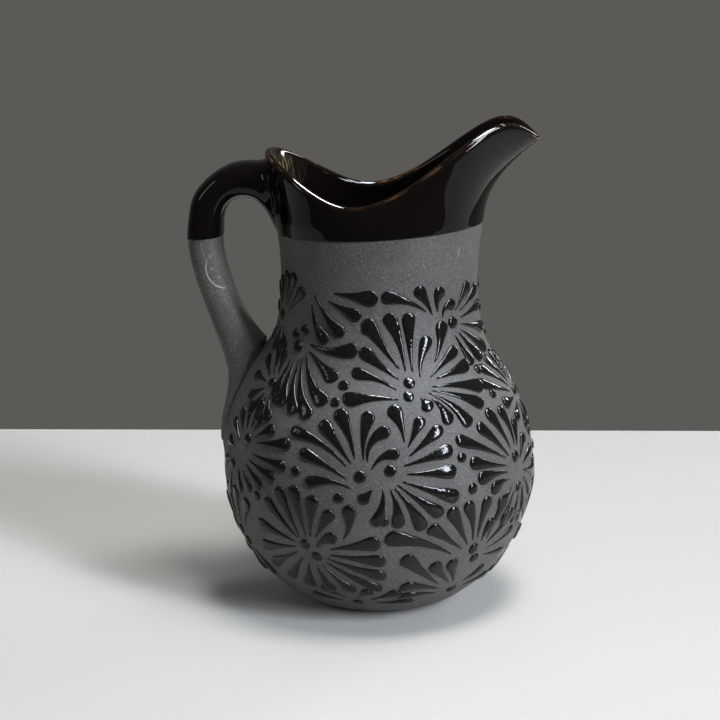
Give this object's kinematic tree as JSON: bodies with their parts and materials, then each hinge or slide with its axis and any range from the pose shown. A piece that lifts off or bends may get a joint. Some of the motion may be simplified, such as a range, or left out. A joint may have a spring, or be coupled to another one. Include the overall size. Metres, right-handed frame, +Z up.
{
  "type": "glazed clay pitcher",
  "caption": "Black-glazed clay pitcher with a round belly, pulled spout and strap handle, dipped glossy collar and raised glaze-drop flowers on a matte body.",
  "frame": {"origin": "middle of the foot's flat underside", "axes": "+Z up, +X towards the spout, -X towards the handle, +Y to the left seen from behind the handle"},
  "size_m": [0.1797, 0.1623, 0.25],
  "materials": {
    "slipped_clay": "matte slate-grey slip over a thrown clay body",
    "bare_clay": "fired clay, all of it under glaze",
    "gloss_glaze": "glossy dipped brown-black glaze that breaks to brown on the edges",
    "drop_glaze": "glossy black glaze trailed on in raised drops"
  },
  "bodies": {
    "root": {"belly_and_neck": "slipped_clay", "collar_with_spout": "bare_clay", "handle": "slipped_clay", "lip_glaze": "gloss_glaze", "liner_glaze": "gloss_glaze", "handle_glaze": "gloss_glaze", "front_filler_dots": "drop_glaze", "back_filler_dots": "drop_glaze", "front_flower_1": "drop_glaze", "front_flower_2": "drop_glaze", "front_flower_3": "drop_glaze", "front_flower_4": "drop_glaze", "front_flower_5": "drop_glaze", "front_flower_6": "drop_glaze", "front_flower_7": "drop_glaze", "front_flower_8": "drop_glaze", "front_flower_9": "drop_glaze", "front_flower_10": "drop_glaze", "front_flower_11": "drop_glaze", "front_flower_12": "drop_glaze", "front_flower_13": "drop_glaze", "front_flower_14": "drop_glaze", "front_flower_15": "drop_glaze", "front_flower_16": "drop_glaze", "back_flower_1": "drop_glaze", "back_flower_2": "drop_glaze", "back_flower_3": "drop_glaze", "back_flower_4": "drop_glaze", "back_flower_5": "drop_glaze", "back_flower_6": "drop_glaze", "back_flower_7": "drop_glaze", "back_flower_8": "drop_glaze", "back_flower_9": "drop_glaze", "back_flower_11": "drop_glaze", "back_flower_12": "drop_glaze", "back_flower_13": "drop_glaze", "back_flower_15": "drop_glaze"}
  },
  "joints": []
}
